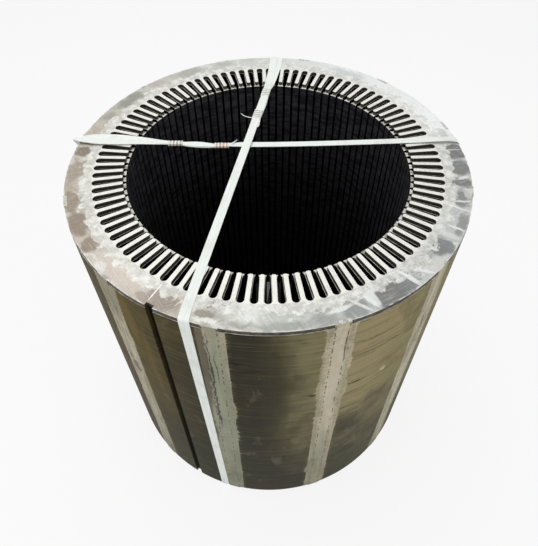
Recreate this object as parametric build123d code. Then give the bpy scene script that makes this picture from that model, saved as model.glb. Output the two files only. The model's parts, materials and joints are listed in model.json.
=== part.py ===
from build123d import *
from math import asin, atan2, cos, degrees, hypot, pi, radians, sin
import os

# Core
core_radius = 370.0
core_height = 734.0
back_depth = 49.4
slot_count = 96

# Teeth and slots of the laminations
tooth_length = 58.1
tooth_width = 9.2
slot_opening = 4.8
ear_tip_depth = 1.2
ear_depth = 4.5

# End plates with their pressing fingers
plate_thickness = 8.0
plate_edge_setback = 1.0
finger_width = 7.4
finger_setback = 4.5
finger_gap_overrun = 1.0
finger_corner = 2.5

# Tie bars let into the outer wall, with a ground weld down each side
bar_count = 12
bar_width = 26.0
bar_thickness = 6.0
bar_clock_teeth = 60.5
weld_width = 10.0
weld_depth = 5.0

# Keyway, half way between two bars
keyway_width = 14.0
keyway_depth = 6.6
keyway_clock_teeth = 64.5

# Straps, by the angle at which each one crosses the rim
strap_width = 18.0
strap_thickness = 1.2
strap_wall_clearance = 0.3
strap_crossing_clearance = 0.3
strap_a_back_angle = 87.9
strap_a_front_top_angle = 251.1
strap_a_front_foot_angle = 253.2
strap_b_left_angle = 171.0
strap_b_right_angle = 8.7

# Seals crimped round the straps, by their distance in from the fingers' ends
seal_length = 18.0
seal_wall = 0.9
seal_clearance = 0.1
seal_a_near_setback = 125.0
seal_a_far_setback = 42.0
seal_b_near_setback = 178.0
seal_b_far_setback = 85.0

# Values worked out from the sizes above
pitch = 360.0 / slot_count
half_pitch = pitch / 2
bar_pitch = 360.0 / bar_count
bar_angle = bar_clock_teeth * pitch
keyway_angle = keyway_clock_teeth * pitch
slot_end_radius = core_radius - back_depth
bore_radius = slot_end_radius - tooth_length
finger_gap_end_radius = slot_end_radius + finger_gap_overrun
core_foot = strap_thickness
core_top = core_foot + core_height
stack_foot = core_foot + plate_thickness
stack_height = core_height - 2 * plate_thickness
finger_radius = bore_radius + finger_setback
plate_radius = core_radius - plate_edge_setback
strap_wall_radius = core_radius + strap_wall_clearance
strap_outer_radius = strap_wall_radius + strap_thickness
strap_dip = strap_thickness + strap_crossing_clearance
seal_a_places = (finger_radius - seal_a_near_setback, finger_radius - seal_a_far_setback)
seal_b_places = (finger_radius - seal_b_near_setback, finger_radius - seal_b_far_setback)
overcut = 20.0


def rim_point(angle):
    return Vector(core_radius * cos(radians(angle)), core_radius * sin(radians(angle)))


def turned(shape, angle):
    return Rot(0, 0, angle) * shape


def flank_point(reach, tooth):
    """A point on the flank of the tooth beside a slot that runs out along +X."""
    lean = radians(half_pitch)
    return Vector(
        reach * cos(lean) + tooth / 2 * sin(lean),
        reach * sin(lean) - tooth / 2 * cos(lean),
    )


def mirrored(point):
    return Vector(point.X, -point.Y)


def round_end(flank_start, tooth, end_radius):
    """The outline of one slot's flanks and its round outer end."""
    half_width = flank_point(end_radius, tooth).Y
    corner = flank_point(end_radius - half_width, tooth)
    return [
        Line(flank_start, corner),
        ThreePointArc(corner, Vector(end_radius, 0), mirrored(corner)),
        Line(mirrored(corner), mirrored(flank_start)),
    ]


# Semi-closed slot of a lamination, with the ears at its mouth
def slot_outline():
    mouth = Vector(bore_radius - overcut, slot_opening / 2)
    ear_tip = Vector(bore_radius + ear_tip_depth, slot_opening / 2)
    ear_root = flank_point(bore_radius + ear_depth, tooth_width)
    side = Polyline(mouth, ear_tip, ear_root)
    other_side = Polyline(mirrored(ear_root), mirrored(ear_tip), mirrored(mouth), mouth)
    return make_face([side, *round_end(ear_root, tooth_width, slot_end_radius), other_side])


# Gap between two pressing fingers, whose inner corners are rounded
def finger_gap_outline():
    flank = flank_point(finger_radius + finger_corner, finger_width)
    corner_edge = Vector(finger_radius, flank.Y + finger_corner)
    mouth = Vector(finger_radius - overcut, corner_edge.Y)
    bulge = finger_corner * (1 - cos(pi / 4))
    corner_middle = Vector(finger_radius + bulge, flank.Y + bulge)
    side = Line(mouth, corner_edge)
    corner = ThreePointArc(corner_edge, corner_middle, flank)
    other_corner = ThreePointArc(mirrored(flank), mirrored(corner_middle), mirrored(corner_edge))
    other_side = Polyline(mirrored(corner_edge), mirrored(mouth), mouth)
    ends = round_end(flank, finger_width, finger_gap_end_radius)
    return make_face([side, corner, *ends, other_corner, other_side])


# Groove for one tie bar, on +X
def bar_groove():
    groove_length = bar_thickness + overcut
    groove_middle = core_radius - bar_thickness + groove_length / 2
    return Pos(groove_middle, 0) * Rectangle(groove_length, bar_width)


# Weld groove beside the bar, on the side given by +1 or -1
def weld_groove(side):
    inner = side * bar_width / 2
    outer = side * (bar_width / 2 + weld_width)
    surface = core_radius * cos(asin(abs(outer) / core_radius))
    steep = (outer - inner) / (surface - (core_radius - weld_depth))
    far_outer = outer + steep * overcut
    outline = Polyline(
        (core_radius - weld_depth, inner),
        (surface + overcut, inner),
        (surface + overcut, far_outer),
        (core_radius - weld_depth, inner),
    )
    return make_face(outline)


def keyway_groove():
    groove_length = keyway_depth + overcut
    groove_middle = core_radius - keyway_depth + groove_length / 2
    groove = Pos(groove_middle, 0) * Rectangle(groove_length, keyway_width)
    return turned(groove, keyway_angle)


def ring(outer, inner):
    return Circle(outer) - Circle(inner)


# One block of the stack lies between two joints, each behind a tie bar
def block_middle(index):
    return bar_angle - half_pitch + bar_pitch * (index + 0.5)


def block_outline():
    half = radians(bar_pitch / 2)
    far = core_radius / cos(half) + overcut
    wedge = Polyline((0, 0), (far * cos(half), -far * sin(half)), (far * cos(half), far * sin(half)), (0, 0))
    outline = ring(core_radius, bore_radius) & make_face(wedge)
    slots_in_block = slot_count // bar_count
    for place in range(slots_in_block + 1):
        outline -= turned(slot_outline(), (place - slots_in_block / 2) * pitch)
    for bar_place in (half_pitch - bar_pitch / 2, half_pitch + bar_pitch / 2):
        outline -= turned(bar_groove(), bar_place)
        for side in (1, -1):
            outline -= turned(weld_groove(side), bar_place)
    return outline


def stack_block(outline, index):
    placed = turned(outline, block_middle(index))
    keyway_offset = radians(keyway_angle - block_middle(index))
    if cos(keyway_offset) > cos(radians(bar_pitch / 2)):
        placed -= keyway_groove()
    return Pos(0, 0, stack_foot) * extrude(placed, stack_height)


def end_plate(foot):
    outline = ring(plate_radius, finger_radius)
    gap = finger_gap_outline()
    outline -= [turned(gap, place * pitch) for place in range(slot_count)]
    outline -= [turned(bar_groove(), bar_angle + bar_pitch * place) for place in range(bar_count)]
    outline -= keyway_groove()
    return Pos(0, 0, foot) * extrude(outline, plate_thickness)


def tie_bar(index):
    section = bar_groove() & Circle(core_radius)
    bar = Pos(0, 0, core_foot) * extrude(section, core_height)
    return turned(bar, bar_angle + bar_pitch * index)


# The two welds beside one bar are a pair of separate solids
def weld_pair(index):
    welds = []
    for side in (1, -1):
        section = weld_groove(side) & Circle(core_radius)
        weld = Pos(0, 0, stack_foot) * extrude(section, stack_height)
        welds.append(turned(weld, bar_angle + bar_pitch * index))
    return Compound(children=welds)


def line_angle(start, end):
    return degrees(atan2(end.Y - start.Y, end.X - start.X))


def flat_run(start, end, foot):
    """A flat band between two rim points, ending at the outer face of the wall runs."""
    middle = (start + end) / 2
    length = hypot(end.X - start.X, end.Y - start.Y) + 2 * overcut
    band = extrude(Rectangle(length, strap_width), strap_thickness)
    band = Pos(middle.X, middle.Y, foot) * turned(band, line_angle(start, end))
    limit = Pos(0, 0, foot) * extrude(Circle(strap_outer_radius), strap_thickness)
    return band & limit


def shelf_reach(middle):
    """How far from a strap's middle both of its edges still lie inside the fingers' ends."""
    far_edge = hypot(middle.X, middle.Y) + strap_width / 2
    return (finger_radius ** 2 - far_edge ** 2) ** 0.5


def dipped_run(start, end, foot, crossing, dip):
    """A band that is flat on the plate and dips towards the bore where the other strap crosses it."""
    middle = (start + end) / 2
    reach = hypot(end.X - start.X, end.Y - start.Y) / 2
    shelf = shelf_reach(middle)
    heading = (end - start).normalized()
    low = (crossing - middle).dot(heading)
    flat = strap_width / 2 + seal_wall
    upper = [
        (-reach - overcut, 0), (-shelf, 0), (low - flat, dip), (low + flat, dip), (shelf, 0), (reach + overcut, 0),
    ]
    lower = [(along, height + strap_thickness) for along, height in reversed(upper)]
    side = Plane.XZ * make_face(Polyline(*upper, *lower, upper[0]))
    band = extrude(side, strap_width / 2, both=True)
    band = Pos(middle.X, middle.Y, foot) * turned(band, line_angle(start, end))
    limit_height = strap_thickness + 2 * abs(dip)
    limit = Pos(0, 0, foot - abs(dip)) * extrude(Circle(strap_outer_radius), limit_height)
    return band & limit


def wall_run(top_angle, foot_angle, heading_angle):
    """A band down the wall, curved to it; its foot may lie to one side of its top."""
    top = rim_point(top_angle)
    foot = rim_point(foot_angle)
    heading = Vector(cos(radians(heading_angle)), sin(radians(heading_angle)))
    across = Vector(-heading.Y, heading.X)
    half = strap_width / 2
    height = core_top + strap_thickness
    outline = Polyline(
        (top.dot(across) - half, height),
        (foot.dot(across) - half, 0),
        (foot.dot(across) + half, 0),
        (top.dot(across) + half, height),
        (top.dot(across) - half, height),
    )
    sheet = Plane(origin=(0, 0, 0), x_dir=across, z_dir=heading) * make_face(outline)
    prism = extrude(sheet, strap_outer_radius + overcut, dir=heading)
    shell = extrude(ring(strap_outer_radius, strap_wall_radius), height)
    return prism & shell


def strap_a():
    back = rim_point(strap_a_back_angle)
    front_top = rim_point(strap_a_front_top_angle)
    front_foot = rim_point(strap_a_front_foot_angle)
    forward = line_angle(back, front_top)
    loop = flat_run(back, front_top, core_top)
    loop += flat_run(back, front_foot, 0)
    loop += wall_run(strap_a_front_top_angle, strap_a_front_foot_angle, forward)
    loop += wall_run(strap_a_back_angle, strap_a_back_angle, forward + 180)
    return loop


def crossing_point(foot_angle):
    """Where strap A crosses strap B in plan; foot_angle is strap A's front end."""
    a_start = rim_point(strap_a_back_angle)
    a_way = rim_point(foot_angle) - a_start
    b_start = rim_point(strap_b_left_angle)
    b_way = rim_point(strap_b_right_angle) - b_start
    between = b_start - a_start
    share = (between.X * b_way.Y - between.Y * b_way.X) / (a_way.X * b_way.Y - a_way.Y * b_way.X)
    return a_start + a_way * share


def strap_b():
    left = rim_point(strap_b_left_angle)
    right = rim_point(strap_b_right_angle)
    rightward = line_angle(left, right)
    loop = dipped_run(left, right, core_top, crossing_point(strap_a_front_top_angle), -strap_dip)
    loop += dipped_run(left, right, 0, crossing_point(strap_a_front_foot_angle), strap_dip)
    loop += wall_run(strap_b_left_angle, strap_b_left_angle, rightward + 180)
    loop += wall_run(strap_b_right_angle, strap_b_right_angle, rightward)
    return loop


def seal():
    """A sleeve crimped round a strap that runs along X, with its middle at the origin."""
    slot = Box(2 * seal_length, strap_width + 2 * seal_clearance, strap_thickness + 2 * seal_clearance)
    outer_width = strap_width + 2 * seal_clearance + 2 * seal_wall
    outer_height = strap_thickness + 2 * seal_clearance + 2 * seal_wall
    sleeve = Box(seal_length, outer_width, outer_height)
    sleeve = fillet(sleeve.edges().filter_by(Axis.X), seal_wall / 2)
    return sleeve - slot


def placed_seal(start, end, place_from_middle, drop_at):
    """A seal on the run from start to end, at a distance past the crossing towards start."""
    heading = (start - end).normalized()
    middle = drop_at + heading * place_from_middle
    lift = core_top + strap_thickness / 2
    return Pos(middle.X, middle.Y, lift) * turned(seal(), line_angle(start, end))


def strap_a_seals():
    back = rim_point(strap_a_back_angle)
    front = rim_point(strap_a_front_top_angle)
    foot_of_centre = (back + front) / 2
    seals = [placed_seal(back, front, place, foot_of_centre) for place in seal_a_places]
    return Compound(children=seals)


def strap_b_seals():
    left = rim_point(strap_b_left_angle)
    right = rim_point(strap_b_right_angle)
    middle = (left + right) / 2
    crossing = crossing_point(strap_a_front_top_angle)
    heading = (left - right).normalized()
    shelf = shelf_reach(middle)
    low = (crossing - middle).dot(heading) + strap_width / 2 + seal_wall
    seals = []
    for place in seal_b_places:
        share = (shelf - place) / (shelf - low)
        slope = degrees(atan2(strap_dip, shelf - low))
        centre = middle + heading * place
        height = core_top + strap_thickness / 2 - strap_dip * share
        sleeve = turned(Rot(0, -slope, 0) * seal(), line_angle(middle, left))
        seals.append(Pos(centre.X, centre.Y, height) * sleeve)
    return Compound(children=seals)


def write(shape, name):
    export_step(shape, f"parts/{name}.step")


def main():
    os.makedirs("parts", exist_ok=True)
    outline = block_outline()
    for index in range(bar_count):
        write(stack_block(outline, index), f"lamination_block_{index + 1:02d}")
        write(tie_bar(index), f"tie_bar_{index + 1:02d}")
        write(weld_pair(index), f"weld_pair_{index + 1:02d}")
    write(end_plate(core_top - plate_thickness), "top_end_plate")
    write(end_plate(core_foot), "bottom_end_plate")
    write(strap_a(), "strap_a")
    write(strap_b(), "strap_b")
    write(strap_a_seals(), "strap_a_seals")
    write(strap_b_seals(), "strap_b_seals")


main()
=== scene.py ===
import json
from math import cos, pi, radians, sin

import bmesh
import bpy
from mathutils import Matrix, Vector


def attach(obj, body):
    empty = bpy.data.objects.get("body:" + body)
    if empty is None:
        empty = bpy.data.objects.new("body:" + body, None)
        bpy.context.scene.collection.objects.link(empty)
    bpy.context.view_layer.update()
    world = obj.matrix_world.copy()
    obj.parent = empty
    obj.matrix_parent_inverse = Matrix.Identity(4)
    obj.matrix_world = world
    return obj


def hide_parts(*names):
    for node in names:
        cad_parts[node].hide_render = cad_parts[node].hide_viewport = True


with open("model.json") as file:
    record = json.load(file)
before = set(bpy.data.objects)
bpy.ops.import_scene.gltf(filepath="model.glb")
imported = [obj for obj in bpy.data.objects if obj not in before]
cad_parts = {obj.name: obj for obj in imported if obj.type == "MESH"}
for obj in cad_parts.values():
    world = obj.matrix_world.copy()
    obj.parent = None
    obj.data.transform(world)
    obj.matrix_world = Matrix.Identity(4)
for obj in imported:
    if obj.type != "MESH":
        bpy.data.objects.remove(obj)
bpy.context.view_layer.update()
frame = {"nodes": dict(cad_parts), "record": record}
nodes = frame["nodes"]
print("frame loaded:", len(nodes), "nodes")

scene = bpy.context.scene


# camera
cameraSettings = {
    "place": (0.0036, -0.7486, 1.3623),
    "tilt": 41.38,      # degrees up from straight down
    "roll": -0.088,
    "lens": 34.17,
    "shiftX": -0.0027,
    "shiftY": -0.0615,
}


def addCamera(settings):
    data = bpy.data.cameras.new("camera")
    data.lens = settings["lens"]
    data.sensor_width = 36
    data.shift_x = settings["shiftX"]
    data.shift_y = settings["shiftY"]
    camera = bpy.data.objects.new("camera", data)
    scene.collection.objects.link(camera)
    turn = Matrix.Rotation(radians(settings["tilt"]), 4, "X") @ Matrix.Rotation(radians(settings["roll"]), 4, "Z")
    camera.matrix_world = Matrix.Translation(settings["place"]) @ turn
    scene.camera = camera


addCamera(cameraSettings)
print("camera set")


# small helpers for node trees
def feed(tree, socket, value):
    if isinstance(value, bpy.types.NodeSocket):
        tree.links.new(value, socket)
    else:
        socket.default_value = value


def addNode(tree, kind, values=None, **settings):
    node = tree.nodes.new("ShaderNode" + kind)
    for key, value in settings.items():
        setattr(node, key, value)
    for key, value in (values or {}).items():
        feed(tree, node.inputs[key], value)
    return node


def mathOf(tree, operation, a, b=0.0, c=0.0, clamp=False):
    node = addNode(tree, "Math", {0: a, 1: b, 2: c}, operation=operation, use_clamp=clamp)
    return node.outputs[0]


# a colour written as it looks on screen, 0 to 255
def tone(red, green, blue):
    def straight(v):
        v = v / 255
        return v / 12.92 if v <= 0.04045 else ((v + 0.055) / 1.055) ** 2.4
    return (straight(red), straight(green), straight(blue), 1.0)


# the sockets 6 and 7 of a Mix node are its two colours
def blendOf(tree, factor, low, high, blend="MIX"):
    node = addNode(tree, "Mix", {"Factor": factor}, data_type="RGBA", blend_type=blend, clamp_factor=True)
    feed(tree, node.inputs[6], low)
    feed(tree, node.inputs[7], high)
    return node.outputs[2]


def rampOf(tree, value, stops):
    node = addNode(tree, "ValToRGB", {"Fac": value})
    ramp = node.color_ramp
    while len(ramp.elements) < len(stops):
        ramp.elements.new(0.5)
    for element, (place, colour) in zip(ramp.elements, stops):
        element.position = place
        element.color = colour
    return node.outputs["Color"]


# rises smoothly from 0 at low to top at high
def stepOf(tree, value, low, high, top=1.0):
    node = addNode(tree, "MapRange", {"Value": value, "From Min": low, "From Max": high, "To Max": top},
                   interpolation_type="SMOOTHSTEP", clamp=True)
    return node.outputs["Result"]


# covers a colour with a patch as the value goes from low to high
def coverOf(tree, colour, patch, value, low, high, top=1.0):
    return blendOf(tree, stepOf(tree, value, low, high, top), colour, patch)


# a value swung either way by noise, over this reach in all
def swungOf(tree, value, noise, reach):
    sway = mathOf(tree, "MULTIPLY", mathOf(tree, "SUBTRACT", noise, 0.5), reach)
    return mathOf(tree, "ADD", value, sway)


def scaledOf(tree, point, scale):
    return addNode(tree, "Mapping", {"Vector": point, "Scale": scale}).outputs[0]


# the pattern is turned about Z first, then drawn out along its own axes
def turnedOf(tree, point, scale, turn):
    values = {"Vector": point, "Scale": [1 / value for value in scale], "Rotation": (0, 0, radians(turn))}
    return addNode(tree, "Mapping", values, vector_type="TEXTURE").outputs[0]


def noiseOf(tree, point, scale, detail=3.0, roughness=0.5):
    node = addNode(tree, "TexNoise", {"Vector": point, "Scale": scale, "Detail": detail, "Roughness": roughness})
    return node.outputs["Fac"]


# noise drawn out along the axes by a scale for each
def streakOf(tree, point, scales, detail, roughness):
    return noiseOf(tree, scaledOf(tree, point, scales), 1.0, detail, roughness)


def newGroup(name, inputs, outputs):
    group = bpy.data.node_groups.new(name, "ShaderNodeTree")
    for label, kind, value in inputs:
        socket = group.interface.new_socket(label, in_out="INPUT", socket_type="NodeSocket" + kind)
        if value is not None:
            socket.default_value = value
    for label, kind in outputs:
        group.interface.new_socket(label, in_out="OUTPUT", socket_type="NodeSocket" + kind)
    return group, group.nodes.new("NodeGroupInput"), group.nodes.new("NodeGroupOutput")


def useGroup(tree, group, values):
    node = tree.nodes.new("ShaderNodeGroup")
    node.node_tree = group
    for key, value in values.items():
        feed(tree, node.inputs[key], value)
    return node


# clock angle round the core: 0 at the front, growing to the right, -180 and 180 at the back
def makeClockPlace():
    group, given, out = newGroup("clockPlace", [("Point", "Vector", None)],
                                 [("Clock", "Float"), ("Radius", "Float"), ("Height", "Float")])
    split = addNode(group, "SeparateXYZ", {0: given.outputs["Point"]})
    east, north = split.outputs["X"], split.outputs["Y"]
    angle = mathOf(group, "ARCTAN2", east, mathOf(group, "MULTIPLY", north, -1.0))
    squares = mathOf(group, "ADD", mathOf(group, "MULTIPLY", east, east), mathOf(group, "MULTIPLY", north, north))
    group.links.new(mathOf(group, "MULTIPLY", angle, 180 / pi), out.inputs["Clock"])
    group.links.new(mathOf(group, "SQRT", squares), out.inputs["Radius"])
    group.links.new(split.outputs["Z"], out.inputs["Height"])
    return group


# a point shaken by noise, so that the edges of marks come out ragged
def makeRaggedPoint():
    group, given, out = newGroup("raggedPoint",
                                 [("Point", "Vector", None), ("Scale", "Float", 30.0), ("Reach", "Float", 0.01)],
                                 [("Point", "Vector")])
    point = given.outputs["Point"]
    noise = addNode(group, "TexNoise", {"Vector": point, "Scale": given.outputs["Scale"], "Detail": 4.0,
                                        "Roughness": 0.62})
    centred = addNode(group, "VectorMath", {0: noise.outputs["Color"], 1: (0.5, 0.5, 0.5)}, operation="SUBTRACT")
    reach = addNode(group, "VectorMath", {0: centred.outputs[0], "Scale": given.outputs["Reach"]}, operation="SCALE")
    moved = addNode(group, "VectorMath", {0: point, 1: reach.outputs[0]}, operation="ADD")
    group.links.new(moved.outputs[0], out.inputs["Point"])
    return group


# sharp-edged patches, such as dried stains and worn oxide leave
def makeStain():
    group, given, out = newGroup("stain",
                                 [("Point", "Vector", None), ("Scale", "Float", 20.0), ("Level", "Float", 0.55),
                                  ("Edge", "Float", 0.02), ("Swirl", "Float", 0.8)], [("Mask", "Float")])
    level, edge = given.outputs["Level"], given.outputs["Edge"]
    noise = addNode(group, "TexNoise", {"Vector": given.outputs["Point"], "Scale": given.outputs["Scale"],
                                        "Detail": 8.0, "Roughness": 0.6, "Distortion": given.outputs["Swirl"]})
    low, high = mathOf(group, "SUBTRACT", level, edge), mathOf(group, "ADD", level, edge)
    group.links.new(stepOf(group, noise.outputs["Fac"], low, high), out.inputs["Mask"])
    return group


# small rusty freckles that gather in clouds
def makeRust():
    group, given, out = newGroup("rust", [("Point", "Vector", None), ("Amount", "Float", 0.5)], [("Mask", "Float")])
    clouds = noiseOf(group, given.outputs["Point"], 9.0, 4.0, 0.6)
    freckles = noiseOf(group, given.outputs["Point"], 320.0, 3.0, 0.6)
    spots = mathOf(group, "MULTIPLY", stepOf(group, clouds, 0.50, 0.64), stepOf(group, freckles, 0.52, 0.66))
    group.links.new(mathOf(group, "MULTIPLY", spots, given.outputs["Amount"]), out.inputs["Mask"])
    return group


clockPlace = makeClockPlace()
raggedPoint = makeRaggedPoint()
stain = makeStain()
rust = makeRust()


def raggedOf(tree, point, scale, reach):
    return useGroup(tree, raggedPoint, {"Point": point, "Scale": scale, "Reach": reach}).outputs[0]


def stainOf(tree, point, scale, level, edge, swirl=0.8):
    values = {"Point": point, "Scale": scale, "Level": level, "Edge": edge, "Swirl": swirl}
    return useGroup(tree, stain, values).outputs[0]


def rustOf(tree, point, amount):
    return useGroup(tree, rust, {"Point": point, "Amount": amount}).outputs[0]


def startMaterial(name):
    material = bpy.data.materials.new(name)
    material.use_nodes = True
    tree = material.node_tree
    tree.nodes.clear()
    out = tree.nodes.new("ShaderNodeOutputMaterial")
    shader = addNode(tree, "BsdfPrincipled")
    tree.links.new(shader.outputs[0], out.inputs["Surface"])
    point = addNode(tree, "TexCoord").outputs["Object"]
    return material, tree, shader, point


def roughOf(tree, value, low, high, start=0.0, end=1.0):
    values = {"Value": value, "From Min": start, "From Max": end, "To Min": low, "To Max": high}
    return addNode(tree, "MapRange", values).outputs[0]


def reliefOf(tree, height, strength, distance):
    return addNode(tree, "Bump", {"Strength": strength, "Distance": distance, "Height": height}).outputs[0]


def dressShader(tree, shader, colour, rough, relief, metallic=0.0, specular=0.5):
    tree.links.new(colour, shader.inputs["Base Color"])
    tree.links.new(rough, shader.inputs["Roughness"])
    tree.links.new(relief, shader.inputs["Normal"])
    shader.inputs["Metallic"].default_value = metallic
    shader.inputs["Specular IOR Level"].default_value = specular


# 1 inside an ellipsoid at place with these half sizes, turned about Z; 0 outside
def markOf(tree, point, place, size, turn=0.0, soft=0.25):
    values = {"Vector": point, "Location": place, "Rotation": (0, 0, radians(turn)), "Scale": size}
    local = addNode(tree, "Mapping", values, vector_type="TEXTURE")
    length = addNode(tree, "VectorMath", {0: local.outputs[0]}, operation="LENGTH")
    return stepOf(tree, length.outputs["Value"], 1 + soft, 1 - soft)


coreSize = {
    "radius": 0.370,
    "top": 0.7352,
    "markDepth": 0.05,           # half size of every mark into the surface
    "bars": (-43.125, 30.0),     # clock angle of one bar, and the step to the next
    "keyway": -28.125,
}


# place, size and turn of a mark on the outer wall; clock in degrees, lengths in metres
def wallSpot(clock, height, halfWide, halfHigh):
    angle = radians(clock - 90)
    place = (coreSize["radius"] * cos(angle), coreSize["radius"] * sin(angle), height)
    return place, (coreSize["markDepth"], halfWide, halfHigh), clock - 90


# place, size and turn of a mark on the top plate; reach is a share of the core's radius
def topSpot(clock, reach, halfOut, halfAlong, turn=0.0):
    angle = radians(clock - 90)
    place = (coreSize["radius"] * reach * cos(angle), coreSize["radius"] * reach * sin(angle), coreSize["top"])
    return place, (halfOut, halfAlong, coreSize["markDepth"]), clock - 90 + turn


# lays patches over a base, one after the other; each is its spot, colour, strength and softness of edge
def layMarks(tree, point, colour, marks, spotOf):
    for spot, patch, strength, soft in marks:
        mask = markOf(tree, point, *spotOf(*spot), soft=soft)
        colour = blendOf(tree, mathOf(tree, "MULTIPLY", mask, strength), colour, tone(*patch))
    return colour


# how far round the wall a point is from the middle of the nearest bar, in metres
def fromBarOf(tree, clock):
    first, step = coreSize["bars"]
    angle = mathOf(tree, "PINGPONG", mathOf(tree, "SUBTRACT", clock, first), step / 2)
    return mathOf(tree, "MULTIPLY", angle, pi / 180 * coreSize["radius"])


# a ramp whose stops are clock angles from -180 to 180
def angleRamp(tree, clock, tones):
    share = mathOf(tree, "DIVIDE", mathOf(tree, "ADD", clock, 180.0), 360.0)
    return rampOf(tree, share, [((angle + 180) / 360, tone(*colour)) for angle, colour in tones])


# strips where the tie bars and their welds are ground flush with the wall
groundSettings = {
    "halfWidth": 0.0234,
    "seam": 0.0110,                  # from the middle of the bar to the seam with its weld
    "seamHalf": (0.0018, 0.0006),
    "pale": tone(178, 168, 140),
    "dull": tone(146, 139, 108),
    "dark": tone(108, 99, 76),
    "bright": tone(216, 208, 188),
    "shade": tone(88, 80, 62),
    "pit": tone(52, 46, 36),
    "seamTone": tone(60, 51, 38),
    "foot": tone(198, 202, 188),     # painted shade: what the colour is multiplied by near the floor, as if lit from above
    "weldHole": tone(60, 53, 40),
    "weldTone": tone(120, 112, 88),
    "endPale": tone(204, 204, 198),
    "endDull": tone(166, 165, 158),
    "lines": (6.0, 6.0, 420.0),
    "streaks": (70, 70, 8),
    "blotches": (24, 24, 13),
    "breaks": (11, 11, 75),          # where the seams are broken
    "pits": 210.0,
    "weldHoles": 300.0,
    "ragged": (34.0, 0.022),
    "marks": [
        ((-43.2, 0.455, 0.010, 0.022), (74, 64, 44), 0.9, 0.3),
        ((-44.6, 0.49, 0.006, 0.010), (84, 74, 52), 0.8, 0.3),
        ((-42.6, 0.66, 0.006, 0.050), (110, 98, 70), 0.6, 0.4),
        ((-12.4, 0.36, 0.024, 0.42), (128, 134, 114), 0.75, 0.35),
        ((-16.3, 0.62, 0.0105, 0.17), (78, 70, 48), 0.95, 0.25),
        ((-16.9, 0.36, 0.0060, 0.17), (80, 74, 54), 0.9, 0.3),
        ((-43.2, 0.70, 0.024, 0.06), (112, 104, 76), 0.6, 0.5),
        ((-14.2, 0.55, 0.0016, 0.17), (32, 27, 20), 0.95, 0.5),
        ((-12.8, 0.61, 0.0012, 0.05), (40, 36, 28), 0.8, 0.5),
        ((-13.9, 0.43, 0.0020, 0.04), (30, 26, 20), 0.95, 0.5),
        ((46.8, 0.585, 0.004, 0.030), (88, 76, 58), 0.8, 0.4),
        ((16.8, 0.52, 0.014, 0.20), (204, 194, 174), 0.5, 0.6),
        ((16.2, 0.18, 0.020, 0.16), (132, 134, 118), 0.5, 0.6),
    ],
}


def makeGroundFinish(settings):
    group, given, out = newGroup("groundFinish", [("Point", "Vector", None)],
                                 [("Color", "Color"), ("Rough", "Float"), ("Bump", "Float")])
    point = given.outputs["Point"]
    lines = streakOf(group, point, settings["lines"], 5.0, 0.65)
    streaks = streakOf(group, point, settings["streaks"], 5.0, 0.65)
    blotches = streakOf(group, point, settings["blotches"], 6.0, 0.65)
    pits = noiseOf(group, point, settings["pits"], 3.0, 0.55)
    place = useGroup(group, clockPlace, {"Point": point})
    colour = coverOf(group, settings["pale"], settings["dull"], streaks, 0.38, 0.62)
    colour = coverOf(group, colour, settings["dark"], blotches, 0.55, 0.68, 0.7)
    colour = coverOf(group, colour, settings["bright"], lines, 0.5, 0.7, 0.3)
    colour = coverOf(group, colour, settings["shade"], lines, 0.48, 0.28, 0.3)
    colour = coverOf(group, colour, settings["pit"], pits, 0.63, 0.70, 0.75)
    ragged = raggedOf(group, point, *settings["ragged"])
    colour = layMarks(group, ragged, colour, settings["marks"], wallSpot)
    # the seams between bar and welds, pressed in as broken lines
    across = swungOf(group, fromBarOf(group, place.outputs["Clock"]), blotches, 0.008)
    nearSeam = mathOf(group, "ABSOLUTE", mathOf(group, "SUBTRACT", across, settings["seam"]))
    broken = streakOf(group, point, settings["breaks"], 4.0, 0.65)
    seam = mathOf(group, "MULTIPLY", stepOf(group, nearSeam, *settings["seamHalf"]),
                  stepOf(group, broken, 0.47, 0.56))
    colour = blendOf(group, mathOf(group, "MULTIPLY", seam, 0.85), colour, settings["seamTone"])
    # painted shade: the strips darken towards the floor, as if lit from above
    shade = coverOf(group, settings["foot"], tone(255, 255, 255), place.outputs["Height"], -0.1, 0.42)
    colour = blendOf(group, 1.0, colour, shade, "MULTIPLY")
    group.links.new(colour, out.inputs["Color"])
    group.links.new(stepOf(group, blotches, 0.2, 0.8), out.inputs["Rough"])
    group.links.new(lines, out.inputs["Bump"])
    return group


groundFinish = makeGroundFinish(groundSettings)


# how far a face looks up or down: 1 on the flat ends, 0 on the walls
def flatOf(tree, low=0.6, high=0.9):
    facing = addNode(tree, "SeparateXYZ", {0: addNode(tree, "NewGeometry").outputs["Normal"]}).outputs["Z"]
    return stepOf(tree, mathOf(tree, "ABSOLUTE", facing), low, high)


def groundMaterial(name, weld, settings):
    material, tree, shader, point = startMaterial(name)
    finish = useGroup(tree, groundFinish, {"Point": point})
    colour = finish.outputs["Color"]
    if weld:
        # the weld is a little darker than the bar and full of small holes
        holes = noiseOf(tree, point, settings["weldHoles"], 3.0, 0.55)
        colour = coverOf(tree, colour, settings["weldHole"], holes, 0.60, 0.66, 0.8)
        colour = blendOf(tree, 0.14, colour, settings["weldTone"])
    # their ends were ground together with the plate
    ends = stainOf(tree, point, 60.0, 0.52, 0.04)
    endColour = blendOf(tree, ends, settings["endPale"], settings["endDull"])
    colour = blendOf(tree, flatOf(tree), colour, endColour)
    dressShader(tree, shader, colour, roughOf(tree, finish.outputs["Rough"], 0.40, 0.64),
                reliefOf(tree, finish.outputs["Bump"], 0.4, 0.0005), metallic=0.1, specular=0.3)
    return material


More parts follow.
